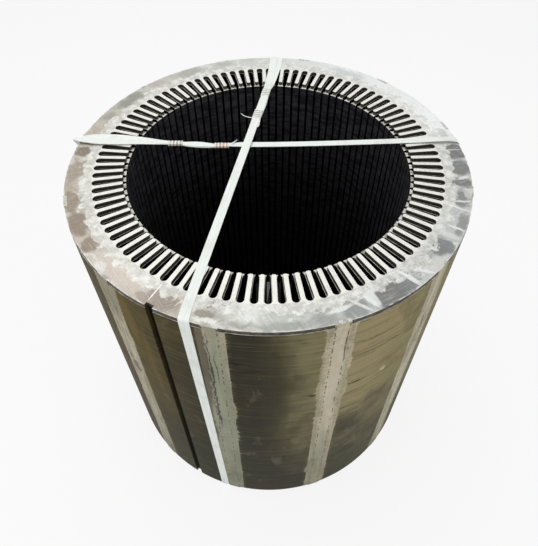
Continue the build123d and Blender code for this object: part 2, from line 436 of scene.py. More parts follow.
# edges of the stacked sheets: wall, keyway, slots and bore
wallSettings = {
    "upper": [      # colour near the top by clock angle, -180 to 180: partly the wall's own tone, partly painted reflection, dark at the front and lighter to the right
        (-180, (96, 88, 64)),
        (-120, (104, 94, 66)),
        (-50, (84, 74, 46)),
        (-36, (94, 82, 44)),
        (-28, (84, 74, 44)),
        (-20, (62, 56, 38)),
        (-5, (46, 44, 33)),
        (1, (60, 57, 42)),
        (9, (112, 106, 80)),
        (22, (150, 138, 108)),
        (32, (150, 138, 106)),
        (42, (138, 129, 94)),
        (70, (116, 108, 80)),
        (120, (100, 92, 68)),
        (180, (96, 88, 64)),
    ],
    "lower": [      # and near the floor, darker: painted shade, as if lit from above
        (-180, (66, 62, 47)),
        (-60, (72, 67, 48)),
        (-36, (68, 65, 49)),
        (-22, (46, 46, 36)),
        (-5, (47, 47, 38)),
        (10, (49, 49, 39)),
        (24, (58, 58, 45)),
        (40, (72, 70, 52)),
        (90, (70, 67, 51)),
        (180, (66, 62, 47)),
    ],
    "slow": (7, 7, 4),               # patches of tone
    "clouds": (1.0, 1.0, 0.55),      # stains drawn out along the sheets
    "dull": (16.0, 0.56, 0.07, 0.5),
    "dullTone": tone(42, 38, 27),
    "rubbed": (27.0, 0.63, 0.04, 0.4),
    "rubbedTone": tone(140, 134, 108),
    "sheetLines": (5.0, 5.0, 560.0),
    "bandLines": (4.0, 4.0, 110.0),
    "dashLines": (13.0, 13.0, 300.0),
    "dashZones": (5, 5, 16),
    "lineBright": tone(150, 142, 114),
    "lineDark": tone(28, 25, 18),
    "bandDark": tone(34, 31, 22),
    "dashDark": tone(26, 23, 17),
    "rustTone": tone(112, 70, 38),
    "wash": tone(252, 252, 243),     # what the wall's colour is multiplied by
    "halo": tone(134, 126, 100),
    "grinderEdge": (24, 24, 150),
    "grinderSway": (5, 5, 13),
    "bulge": (20.4, 0.512, 0.011, 0.022),
    "ragged": (30.0, 0.026),
    "keyHalf": (1.2, 0.95),          # half the keyway in degrees
    "keyRadius": (0.3692, 0.3680),
    # painted shade: the keyway's faces are near black
    "keyShade": tone(12, 9, 8),
    "boreLines": (34, 34, 140),
    # dark and pale oxide, then the painted shade deep in the bore
    "boreTones": (tone(34, 34, 36), tone(64, 64, 68), tone(20, 21, 20)),
    "boreDepth": (0.70, 0.15),       # the bore darkens between these heights: painted shade deeper in the bore
    # painted shade: the faces inside the slots are near black
    "slotShade": tone(20, 19, 17),
    "slotFrom": (0.2665, 0.2645),
    "innerFrom": (0.345, 0.335),     # the wall's finish ends here inside the core
    # partly painted highlight on the flat faces of the end sheet
    "ledgeTones": (tone(168, 166, 156), tone(230, 229, 222)),
    "marks": [
        ((-37.0, 0.66, 0.012, 0.060), (124, 104, 52), 0.55, 0.5),
        ((-33.0, 0.54, 0.008, 0.12), (112, 92, 48), 0.5, 0.5),
        ((-39.0, 0.22, 0.030, 0.12), (66, 60, 44), 0.5, 0.6),
        ((-9.0, 0.55, 0.014, 0.16), (44, 42, 31), 0.6, 0.5),
        ((2.0, 0.50, 0.020, 0.13), (56, 53, 41), 0.5, 0.5),
        ((9.0, 0.655, 0.013, 0.05), (124, 118, 92), 0.5, 0.6),
        ((-9.0, 0.64, 0.028, 0.0040), (28, 26, 20), 0.85, 0.5),
        ((-4.0, 0.615, 0.024, 0.0030), (30, 28, 22), 0.8, 0.5),
        ((12.0, 0.521, 0.010, 0.0040), (52, 42, 32), 0.85, 0.5),
        ((8.0, 0.322, 0.009, 0.016), (106, 108, 92), 0.55, 0.4),
        ((3.2, 0.215, 0.011, 0.020), (96, 98, 84), 0.5, 0.5),
        ((33.0, 0.514, 0.007, 0.007), (196, 182, 156), 0.75, 0.4),
        ((27.0, 0.385, 0.016, 0.006), (132, 130, 106), 0.5, 0.4),
        ((26.0, 0.275, 0.026, 0.022), (112, 112, 90), 0.4, 0.5),
        ((29.0, 0.20, 0.016, 0.010), (110, 110, 90), 0.45, 0.4),
        ((24.5, 0.522, 0.022, 0.0020), (36, 30, 23), 0.95, 0.4),
        ((23.5, 0.281, 0.015, 0.0022), (36, 31, 24), 0.9, 0.4),
        ((28.0, 0.660, 0.045, 0.0016), (84, 72, 52), 0.7, 0.4),
        ((30.0, 0.618, 0.050, 0.0020), (80, 70, 50), 0.7, 0.4),
        ((27.0, 0.555, 0.050, 0.0014), (92, 80, 60), 0.6, 0.4),
        ((26.0, 0.08, 0.07, 0.04), (62, 62, 50), 0.6, 0.5),
    ],
}


def laminationMaterial(settings):
    material, tree, shader, point = startMaterial("laminationSteel")
    place = useGroup(tree, clockPlace, {"Point": point})
    clock, radius, height = (place.outputs[key] for key in ("Clock", "Radius", "Height"))
    # wall tone by angle, shaken by slow noise so that it runs into patches; the ramps by angle are partly painted
    # reflection, dark at the front and lighter to the right
    slow = streakOf(tree, point, settings["slow"], 6.0, 0.6)
    shaken = swungOf(tree, clock, slow, 22.0)
    upper = angleRamp(tree, shaken, settings["upper"])
    lower = angleRamp(tree, shaken, settings["lower"])
    # painted shade: the wall darkens from the upper ramp to the lower one towards the floor
    wall = coverOf(tree, lower, upper, swungOf(tree, height, slow, 0.9), 0.12, 0.66)
    # dull clouds and bright rubbed ones
    clouds = scaledOf(tree, point, settings["clouds"])
    dull = stainOf(tree, clouds, *settings["dull"])
    rubbed = stainOf(tree, clouds, *settings["rubbed"])
    wall = blendOf(tree, mathOf(tree, "MULTIPLY", dull, 0.34), wall, settings["dullTone"])
    wall = blendOf(tree, mathOf(tree, "MULTIPLY", rubbed, 0.16), wall, settings["rubbedTone"])
    # edges of the sheets: fine lines, packets that stand lighter or darker, and broken black dashes
    fine = streakOf(tree, point, settings["sheetLines"], 5.0, 0.7)
    bands = streakOf(tree, point, settings["bandLines"], 5.0, 0.65)
    dashes = streakOf(tree, point, settings["dashLines"], 3.0, 0.6)
    dashZones = streakOf(tree, point, settings["dashZones"], 3.0, 0.5)
    wall = coverOf(tree, wall, settings["lineBright"], fine, 0.52, 0.70, 0.24)
    wall = coverOf(tree, wall, settings["lineDark"], fine, 0.48, 0.30, 0.62)
    wall = coverOf(tree, wall, settings["bandDark"], bands, 0.49, 0.34, 0.26)
    wall = coverOf(tree, wall, settings["lineBright"], bands, 0.56, 0.70, 0.10)
    dash = mathOf(tree, "MULTIPLY", stepOf(tree, dashes, 0.61, 0.67), stepOf(tree, dashZones, 0.50, 0.58))
    wall = blendOf(tree, mathOf(tree, "MULTIPLY", dash, 0.75), wall, settings["dashDark"])
    ragged = raggedOf(tree, point, *settings["ragged"])
    wall = layMarks(tree, ragged, wall, settings["marks"], wallSpot)
    wall = blendOf(tree, rustOf(tree, point, 0.35), wall, settings["rustTone"])
    wall = blendOf(tree, 1.0, wall, settings["wash"], "MULTIPLY")
    # the grinder ran past bar and welds on to the sheets, with a ragged edge
    edgeNoise = streakOf(tree, point, settings["grinderEdge"], 5.0, 0.7)
    broad = streakOf(tree, point, settings["grinderSway"], 4.0, 0.55)
    edge = swungOf(tree, swungOf(tree, groundSettings["halfWidth"], edgeNoise, 0.018), broad, 0.026)
    bulge = markOf(tree, ragged, *wallSpot(*settings["bulge"]), soft=0.6)
    edge = mathOf(tree, "ADD", edge, mathOf(tree, "MULTIPLY", bulge, 0.006))
    beyond = mathOf(tree, "SUBTRACT", fromBarOf(tree, clock), edge)
    ground = useGroup(tree, groundFinish, {"Point": point})
    wall = coverOf(tree, wall, ground.outputs["Color"], beyond, 0.0010, -0.0010)
    halo = mathOf(tree, "MULTIPLY", stepOf(tree, beyond, 0.010, 0.0), stepOf(tree, fine, 0.46, 0.60, 0.35))
    halo = mathOf(tree, "MULTIPLY", halo, stepOf(tree, beyond, 0.0, 0.001))
    wall = blendOf(tree, halo, wall, settings["halo"])
    # keyway, painted near black: painted shade in the groove
    fromKey = mathOf(tree, "ABSOLUTE", mathOf(tree, "SUBTRACT", clock, coreSize["keyway"]))
    inKey = mathOf(tree, "MULTIPLY", stepOf(tree, fromKey, *settings["keyHalf"]),
                   stepOf(tree, radius, *settings["keyRadius"]))
    wall = blendOf(tree, inKey, wall, settings["keyShade"])
    # slots and bore: dark oxide, a little blue; darker towards the floor, which is painted shade deep in the bore,
    # and the slot faces near black, painted shade in the slots
    boreLines = streakOf(tree, point, settings["boreLines"], 3.0, 0.6)
    boreDark, borePale, boreDepthShade = settings["boreTones"]
    inner = coverOf(tree, boreDark, borePale, boreLines, 0.35, 0.65)
    inner = coverOf(tree, inner, boreDepthShade, height, *settings["boreDepth"], 0.70)
    # painted shade: the slot faces are near black, while the bore's tooth tips keep the oxide
    inner = coverOf(tree, settings["slotShade"], inner, radius, *settings["slotFrom"])
    colour = coverOf(tree, wall, inner, radius, *settings["innerFrom"])
    # the end sheet beside the fingers is bright: its flat faces are painted light, partly the bare sheet face and
    # partly painted highlight where they catch the light
    ledge = noiseOf(tree, point, 70.0, 5.0, 0.65)
    ledgeColour = coverOf(tree, *settings["ledgeTones"], ledge, 0.40, 0.60)
    colour = blendOf(tree, flatOf(tree), colour, ledgeColour)
    relief = mathOf(tree, "ADD", fine, mathOf(tree, "MULTIPLY", bands, 1.4))
    dressShader(tree, shader, colour, roughOf(tree, bands, 0.46, 0.72), reliefOf(tree, relief, 0.5, 0.0007),
                specular=0.05)
    return material


# end plates with their fingers: bare steel, brushed, stained and scraped
plateSettings = {
    "tones": [      # colour of the plate by clock angle
        (-180, (205, 209, 204)),
        (-150, (190, 191, 184)),
        (-122, (188, 184, 174)),
        (-98, (178, 168, 154)),
        (-75, (176, 168, 154)),
        (-50, (198, 192, 181)),
        (-28, (180, 171, 160)),
        (-10, (192, 193, 184)),
        (14, (186, 190, 184)),
        (34, (182, 186, 183)),
        (62, (186, 190, 187)),
        (90, (200, 204, 205)),
        (108, (238, 241, 241)),
        (150, (226, 230, 230)),
        (180, (205, 209, 204)),
    ],
    "patches": [    # how strong the dark patches are by clock angle
        (-180, (110, 110, 110)),
        (-110, (170, 170, 170)),
        (-60, (190, 190, 190)),
        (-44, (110, 110, 110)),
        (-20, (180, 180, 180)),
        (12, (180, 180, 180)),
        (40, (215, 215, 215)),
        (88, (200, 200, 200)),
        (103, (60, 60, 60)),
        (180, (100, 100, 100)),
    ],
    "stainTones": [ # colour of the stains by clock angle
        (-180, (146, 146, 140)),
        (-120, (138, 130, 120)),
        (-30, (136, 124, 110)),
        (-8, (120, 119, 112)),
        (30, (122, 127, 130)),
        (90, (134, 137, 140)),
        (180, (146, 146, 140)),
    ],
    "stains": {     # share, scale, level, edge and swirl
        "large": (0.42, 15.0, 0.53, 0.045, 0.9),
        "middle": (0.55, 34.0, 0.555, 0.022, 1.2),
        "small": (0.34, 90.0, 0.57, 0.02, 0.8),
    },
    "pale": (21.0, 0.56, 0.02, 1.0),
    "paleTone": tone(226, 227, 222),
    "ragged": (44.0, 0.030),
    "shaky": (60.0, 0.008),
    "stainRing": (0.322, 0.336),     # the stains start between these radii
    "lobes": 58.0,
    "lobeReach": 0.013,
    "smearRim": (0.3480, 0.3466),    # the pale smear ends between these radii
    "smearTones": (tone(234, 235, 230), tone(194, 194, 187), tone(184, 184, 176)),
    "fingerRing": (0.3225, 0.3200),
    "fingerTone": tone(232, 232, 225),
    "brushes": ((620, 30, 60, 35), (540, 34, 60, -62)),    # scales along the axes, then the turn
    "brushTones": (tone(236, 236, 231), tone(112, 108, 100)),
    "gritTone": tone(120, 114, 104),
    "rustTone": tone(132, 92, 60),
    "rimRing": (0.3670, 0.3682),
    # painted highlight on the rim's edge
    "rimHighlight": tone(232, 232, 226),
    "drag": (170, 170, 25),
    # side faces: dark rust of the cut edges, partly painted shade
    "edgeTones": (tone(34, 30, 22), tone(78, 69, 50)),
    "edgeRust": tone(64, 44, 28),
    "slotEdge": tone(74, 71, 62),
    "edgeSplit": (0.34, 0.36),       # edges nearer the axis are those of the slots
    "marks": [
        ((-72, 0.965, 0.012, 0.030), (136, 124, 108), 0.85, 0.25),
        ((-63, 0.955, 0.018, 0.028), (132, 118, 102), 0.9, 0.25),
        ((-54, 0.955, 0.015, 0.016), (134, 120, 104), 0.9, 0.25),
        ((-86, 0.955, 0.014, 0.030), (150, 138, 122), 0.75, 0.3),
        ((-94.5, 0.955, 0.016, 0.014), (112, 98, 80), 0.9, 0.3),
        ((-80, 0.93, 0.012, 0.014), (196, 182, 172), 0.6, 0.3),
        ((-41, 0.925, 0.018, 0.040), (204, 190, 180), 0.6, 0.4),
        ((-26, 0.945, 0.022, 0.028), (138, 127, 114), 0.85, 0.3),
        ((-31, 0.965, 0.008, 0.014), (144, 132, 120), 0.7, 0.3),
        ((-15, 0.945, 0.010, 0.016), (134, 127, 114), 0.85, 0.25),
        ((-14, 0.980, 0.006, 0.024), (228, 229, 222), 0.8, 0.3),
        ((-6, 0.965, 0.007, 0.018), (140, 139, 130), 0.7, 0.3),
        ((3, 0.972, 0.009, 0.034), (140, 144, 138), 0.85, 0.3),
        ((13, 0.975, 0.008, 0.030), (152, 155, 150), 0.8, 0.3),
        ((-2, 0.935, 0.010, 0.036), (218, 222, 217), 0.6, 0.4),
        ((13, 0.942, 0.016, 0.016), (150, 153, 149), 0.7, 0.3),
        ((1, 0.945, 0.018, 0.022), (160, 163, 155), 0.6, 0.35),
        ((21, 0.950, 0.018, 0.020), (134, 138, 136), 0.85, 0.25),
        ((31, 0.950, 0.027, 0.032), (108, 111, 111), 0.95, 0.2),
        ((36.5, 0.965, 0.014, 0.014), (118, 121, 122), 0.9, 0.2),
        ((46, 0.975, 0.012, 0.034), (206, 206, 202), 0.8, 0.35),
        ((52.5, 0.940, 0.020, 0.018), (116, 120, 120), 0.92, 0.2),
        ((63, 0.975, 0.010, 0.026), (134, 134, 128), 0.85, 0.25),
        ((73, 0.955, 0.016, 0.022), (126, 128, 124), 0.9, 0.25),
        ((76, 0.975, 0.008, 0.020), (206, 207, 205), 0.7, 0.3),
        ((80.0, 0.950, 0.022, 0.014), (108, 110, 108), 0.92, 0.25),
        ((86.5, 0.953, 0.024, 0.020), (112, 114, 112), 0.92, 0.25),
        ((94, 0.957, 0.022, 0.022), (106, 106, 106), 0.95, 0.2),
        ((103, 0.945, 0.010, 0.016), (190, 193, 194), 0.7, 0.3),
        ((150, 0.94, 0.014, 0.040), (190, 194, 194), 0.7, 0.4),
        ((-163, 0.965, 0.010, 0.020), (164, 166, 160), 0.6, 0.3),
        ((-150, 0.955, 0.014, 0.030), (156, 156, 144), 0.6, 0.4),
        ((-137, 0.955, 0.012, 0.016), (172, 158, 156), 0.65, 0.35),
        ((-124, 0.955, 0.014, 0.034), (130, 132, 122), 0.85, 0.35),
        ((-113, 0.955, 0.012, 0.016), (142, 140, 130), 0.7, 0.35),
    ],
    "strokes": [    # bright strokes where something was scraped across the stains
        ((22.5, 0.945, 0.020, 0.0030, 40), (216, 219, 216), 0.85, 0.3),
        ((26.5, 0.935, 0.018, 0.0060, 0), (222, 226, 224), 0.85, 0.3),
        ((38.0, 0.935, 0.020, 0.0040, 14), (232, 234, 232), 0.9, 0.3),
        ((25.5, 0.945, 0.014, 0.0034, 16), (226, 230, 228), 0.85, 0.3),
        ((42.5, 0.955, 0.018, 0.0030, 36), (228, 230, 230), 0.8, 0.3),
        ((57.5, 0.940, 0.020, 0.0060, 0), (206, 209, 206), 0.85, 0.4),
        ((61, 0.955, 0.014, 0.0022, 0), (234, 235, 232), 0.85, 0.3),
        ((69, 0.935, 0.028, 0.0012, -8), (238, 239, 236), 0.85, 0.4),
        ((72, 0.955, 0.016, 0.0024, 22), (226, 228, 226), 0.8, 0.3),
        ((82, 0.955, 0.012, 0.0040, 20), (224, 226, 224), 0.75, 0.3),
        ((95, 0.935, 0.020, 0.0014, -6), (232, 232, 230), 0.7, 0.4),
        ((17.5, 0.935, 0.004, 0.020, 6), (232, 235, 232), 0.8, 0.4),
        ((-22, 0.925, 0.010, 0.0016, -30), (216, 206, 194), 0.7, 0.4),
    ],
    "scribed": [((-29.2, 0.926, 0.0174, 0.0011), (246, 240, 230), 0.9, 0.3)],
}


def plateMaterial(settings):
    material, tree, shader, point = startMaterial("plateSteel")
    place = useGroup(tree, clockPlace, {"Point": point})
    clock, radius = place.outputs["Clock"], place.outputs["Radius"]
    slow = noiseOf(tree, point, 9.0, 5.0, 0.6)
    shaken = swungOf(tree, clock, slow, 34.0)
    top = angleRamp(tree, shaken, settings["tones"])
    stainTone = angleRamp(tree, shaken, settings["stainTones"])
    # the broad ring outside the slots carries the stains, the fingers are rubbed clean
    outer = stepOf(tree, swungOf(tree, radius, slow, 0.05), *settings["stainRing"])
    strength = mathOf(tree, "MULTIPLY", angleRamp(tree, clock, settings["patches"]), outer)
    stains = {}
    for name, (share, *shape) in settings["stains"].items():
        stains[name] = stainOf(tree, point, *shape)
        patch = mathOf(tree, "MULTIPLY", mathOf(tree, "MULTIPLY", stains[name], share), strength)
        top = blendOf(tree, patch, top, stainTone)
    ragged = raggedOf(tree, point, *settings["ragged"])
    pale = stainOf(tree, ragged, *settings["pale"])
    top = blendOf(tree, mathOf(tree, "MULTIPLY", pale, 0.5), top, settings["paleTone"])
    top = layMarks(tree, ragged, top, settings["marks"], topSpot)
    # pale smear round the slots, wiped outwards in lobes
    values = {"Vector": point, "Scale": settings["lobes"], "Randomness": 0.85}
    lobe = addNode(tree, "TexVoronoi", values, feature="F1").outputs["Distance"]
    smearEdge = swungOf(tree, radius, noiseOf(tree, point, 42.0, 5.0, 0.65), 0.050)
    smearEdge = mathOf(tree, "ADD", smearEdge, mathOf(tree, "MULTIPLY", lobe, settings["lobeReach"]))
    wiped = noiseOf(tree, point, 75.0, 6.0, 0.65)
    smearPale, smearDull, smearDark = settings["smearTones"]
    lobeTone = coverOf(tree, smearPale, smearDull, wiped, 0.40, 0.62)
    lobeTone = coverOf(tree, lobeTone, smearDark, lobe, 0.35, 0.75, 0.35)
    smear = stepOf(tree, smearEdge, *settings["smearRim"])
    top = blendOf(tree, mathOf(tree, "MULTIPLY", smear, 0.78), top, lobeTone)
    top = coverOf(tree, top, settings["fingerTone"], radius, *settings["fingerRing"], 0.85)
    top = layMarks(tree, raggedOf(tree, point, *settings["shaky"]), top, settings["strokes"], topSpot)
    top = layMarks(tree, point, top, settings["scribed"], topSpot)
    # brushed lines that come and go, and grit
    first, second = (noiseOf(tree, turnedOf(tree, point, scales, turn), 1.0, 3.0, 0.6)
                     for *scales, turn in settings["brushes"])
    brushed = coverOf(tree, first, second, slow, 0.44, 0.56)
    brushPale, brushDark = settings["brushTones"]
    top = coverOf(tree, top, brushPale, brushed, 0.52, 0.68, 0.22)
    top = coverOf(tree, top, brushDark, brushed, 0.48, 0.32, 0.22)
    grit = noiseOf(tree, point, 520.0, 3.0, 0.6)
    top = coverOf(tree, top, settings["gritTone"], grit, 0.58, 0.72, 0.35)
    top = blendOf(tree, rustOf(tree, point, 0.30), top, settings["rustTone"])
    # painted highlight along the rim edge, broken by noise
    rimBreaks = stepOf(tree, noiseOf(tree, point, 60.0, 4.0, 0.65), 0.46, 0.56, 0.7)
    rim = mathOf(tree, "MULTIPLY", stepOf(tree, radius, *settings["rimRing"]), rimBreaks)
    top = blendOf(tree, rim, top, settings["rimHighlight"])
    # cut edges: dark and rusty, with drag lines up and down; their dark is partly painted shade, most of all on the
    # finger sides and ends in the slots
    drag = streakOf(tree, point, settings["drag"], 4.0, 0.6)
    edge = coverOf(tree, *settings["edgeTones"], drag, 0.38, 0.62)
    outerEdge = blendOf(tree, mathOf(tree, "MULTIPLY", stains["large"], 0.6), edge, settings["edgeRust"])
    innerEdge = blendOf(tree, 0.6, edge, settings["slotEdge"])
    sideColour = coverOf(tree, innerEdge, outerEdge, radius, *settings["edgeSplit"])
    # the side faces get the dark edge colour: partly rusty cut edges, partly painted shade
    colour = blendOf(tree, flatOf(tree, 0.5, 0.8), sideColour, top)
    relief = mathOf(tree, "ADD", brushed, mathOf(tree, "MULTIPLY", stains["middle"], 0.6))
    dressShader(tree, shader, colour, roughOf(tree, slow, 0.38, 0.62, 0.3, 0.7), reliefOf(tree, relief, 0.3, 0.0004),
                metallic=0.15)
    return material


# straps: white, of lengthwise strands, with grime on the flats
strapFinish = {
    "cloth": tone(238, 243, 238),
    "strand": tone(248, 250, 248),
    "shadow": tone(228, 234, 229),
    "grime": tone(204, 204, 192),
    "strands": (16, 1100, 16),
    "weave": (420, 700, 420),
    "headings": (0.0, 78.6),         # of the strap from left to right, and of the one from front to back
}


def strapMaterial(name, heading, settings):
    material, tree, shader, point = startMaterial(name)
    strands = noiseOf(tree, turnedOf(tree, point, settings["strands"], heading), 1.0, 2.0, 0.5)
    weave = noiseOf(tree, turnedOf(tree, point, settings["weave"], heading), 1.0, 2.0, 0.5)
    grime = stainOf(tree, point, 26.0, 0.57, 0.08, 0.4)
    colour = coverOf(tree, settings["shadow"], settings["cloth"], strands, 0.40, 0.60)
    colour = coverOf(tree, colour, settings["strand"], strands, 0.55, 0.68, 0.6)
    colour = coverOf(tree, colour, settings["shadow"], weave, 0.55, 0.70, 0.25)
    colour = blendOf(tree, mathOf(tree, "MULTIPLY", grime, 0.35), colour, settings["grime"])
    dressShader(tree, shader, colour, roughOf(tree, weave, 0.38, 0.62), reliefOf(tree, strands, 0.35, 0.0003))
    return material


# seals and their grooves: colour, then that of the dirt on it
sealFinish = {
    "sealPlastic": (tone(236, 231, 223), tone(206, 196, 184)),
    "sealBright": (tone(236, 236, 230), tone(208, 204, 194)),
    # the groove colours are darker than the sleeves: painted shade in the pressed notches
    "greyGroove": (tone(176, 176, 168), tone(138, 136, 128)),
    "pinkGroove": (tone(212, 182, 164), tone(176, 146, 130)),
}


def sealMaterial(name):
    colour, dirt = sealFinish[name]
    material, tree, shader, point = startMaterial(name)
    grime = stainOf(tree, point, 130.0, 0.54, 0.06)
    dirty = blendOf(tree, mathOf(tree, "MULTIPLY", grime, 0.6), colour, dirt)
    fine = noiseOf(tree, point, 900.0, 2.0, 0.5)
    dressShader(tree, shader, dirty, roughOf(tree, grime, 0.36, 0.6), reliefOf(tree, fine, 0.2, 0.0002))
    return material


sideHeading, frontHeading = strapFinish["headings"]
materials = {
    "lamination_steel": laminationMaterial(wallSettings),
    "ground_bar": groundMaterial("groundBar", False, groundSettings),
    "ground_weld": groundMaterial("groundWeld", True, groundSettings),
    "plate_steel": plateMaterial(plateSettings),
    "strap_cord": strapMaterial("strapCloth", sideHeading, strapFinish),
    "seal_plastic": sealMaterial("sealPlastic"),
}
crossStrapCloth = strapMaterial("crossStrapCloth", frontHeading, strapFinish)
sealBright, greyGroove, pinkGroove = (sealMaterial(name) for name in ("sealBright", "greyGroove", "pinkGroove"))
print("materials made:", len(materials) + 4)

slotOf = {part["node"]: part["material_slot"] for part in frame["record"]["subparts"]}
for name, node in nodes.items():
    node.data.materials.clear()
    node.data.materials.append(materials[slotOf[name]])
print("materials given to the CAD nodes")


def clearSelection():
    bpy.ops.object.select_all(action="DESELECT")


def applyAll(piece):
    clearSelection()
    piece.select_set(True)
    bpy.context.view_layer.objects.active = piece
    for modifier in list(piece.modifiers):
        bpy.ops.object.modifier_apply(modifier=modifier.name)


# turns what is selected in edit mode; without a window the tool turns the other way, hence the minus
def turnPicked(angle, axis, centre):
    if angle:
        bpy.ops.transform.rotate(value=-radians(angle), orient_axis=axis, center_override=centre)


# a cross edge drawn out from station to station, each with its x, y, z and width in millimetres and its heading
# and tilt in degrees
def bandAlong(name, stations, cloth, thickness, cuts=3, closed=False):
    clearSelection()
    bpy.ops.mesh.primitive_plane_add(size=1)
    band = bpy.context.active_object
    band.name = name
    bpy.ops.object.mode_set(mode="EDIT")
    bpy.ops.mesh.select_mode(type="VERT")
    bpy.ops.mesh.select_all(action="SELECT")
    bpy.ops.transform.resize(value=(0, 1, 1))
    bpy.ops.mesh.remove_doubles(threshold=0.001)
    if cuts:
        bpy.ops.mesh.subdivide(number_cuts=cuts)
    place, width, heading, tilt = Vector((0, 0, 0)), 1.0, 0.0, 0.0
    for index, (x, y, z, newWidth, newHeading, newTilt) in enumerate(stations):
        target = Vector((x, y, z)) / 1000
        if index:
            bpy.ops.mesh.extrude_region_move(TRANSFORM_OT_translate={"value": target - place})
        else:
            bpy.ops.transform.translate(value=target - place)
        scale = newWidth / 1000 / width
        bpy.ops.transform.resize(value=(scale, scale, scale), center_override=target)
        if newTilt != tilt:
            turnPicked(-heading, "Z", target)
            turnPicked(newTilt - tilt, "X", target)
            turnPicked(newHeading, "Z", target)
        else:
            turnPicked(newHeading - heading, "Z", target)
        place, width, heading, tilt = target, newWidth / 1000, newHeading, newTilt
    if closed:
        bpy.ops.mesh.select_all(action="SELECT")
        bpy.ops.mesh.remove_doubles(threshold=0.0001)
    bpy.ops.object.mode_set(mode="OBJECT")
    smooth = band.modifiers.new("smooth", "SUBSURF")
    smooth.levels = smooth.render_levels = 2
    wall = band.modifiers.new("wall", "SOLIDIFY")
    wall.thickness = thickness / 1000
    wall.offset = 0
    wall.use_even_offset = True
    soft = band.modifiers.new("soft", "BEVEL")
    soft.width = thickness / 4000
    soft.segments = 2
    soft.limit_method = "ANGLE"
    applyAll(band)
    bpy.ops.object.shade_smooth_by_angle(angle=radians(40))
    band.data.materials.append(cloth)
    return band


def joinPieces(main, others):
    clearSelection()
    for piece in [main, *others]:
        piece.select_set(True)
    bpy.context.view_layer.objects.active = main
    bpy.ops.object.join()
    return main


def standFor(piece, node):
    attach(piece, "root")
    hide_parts(node)


# between two stations of a crimp the width swings in and out
def crimpStations(start, end, wide, narrow, heading, steps=8):
    stations = []
    for step in range(steps + 1):
        share = step / steps
        x, y, z = (a + (b - a) * share for a, b in zip(start, end))
        stations.append((x, y, z, narrow if step % 2 else wide, heading, 0))
    return stations


# the strap that runs from front to back, over the other one; all lengths in millimetres
frontStrap = {
    "width": 18,
    "topWidth": 15.6,    # drawn narrower where it spans the top
    "thickness": 1.2,
    "wall": 370.9,       # radius of its middle on the wall
    "top": 735.8,        # height of its middle on the plate
    "rimHeight": 736,
    "sole": 0.6,         # and under the core
    "frontTop": 251.1,   # angle where it comes over the front rim
    "frontFoot": 253.2,  # and where it goes under
    "back": 87.9,
    "heading": frontHeading,
    "line": (-95.9, -220.6, 0.2026),     # a point of its middle line on the top, and how far x goes for each y
    "rimWidth": 16.8,
    "crimps": [((-26.0, 129, 736.0), (-18.8, 161, 736.1)), ((-9.0, 208, 736.3), (-2.8, 239, 736.6))],
}


def wallStation(settings, angle, z, out, heading):
    radius = settings["wall"] + out
    return (radius * cos(radians(angle)), radius * sin(radians(angle)), z, settings["width"], heading, 0)


def lineStation(settings, y, z=0.0, width=None):
    startX, startY, slope = settings["line"]
    x = startX + slope * (y - startY)
    return (x, y, settings["top"] + z, width or settings["topWidth"], settings["heading"], 0)


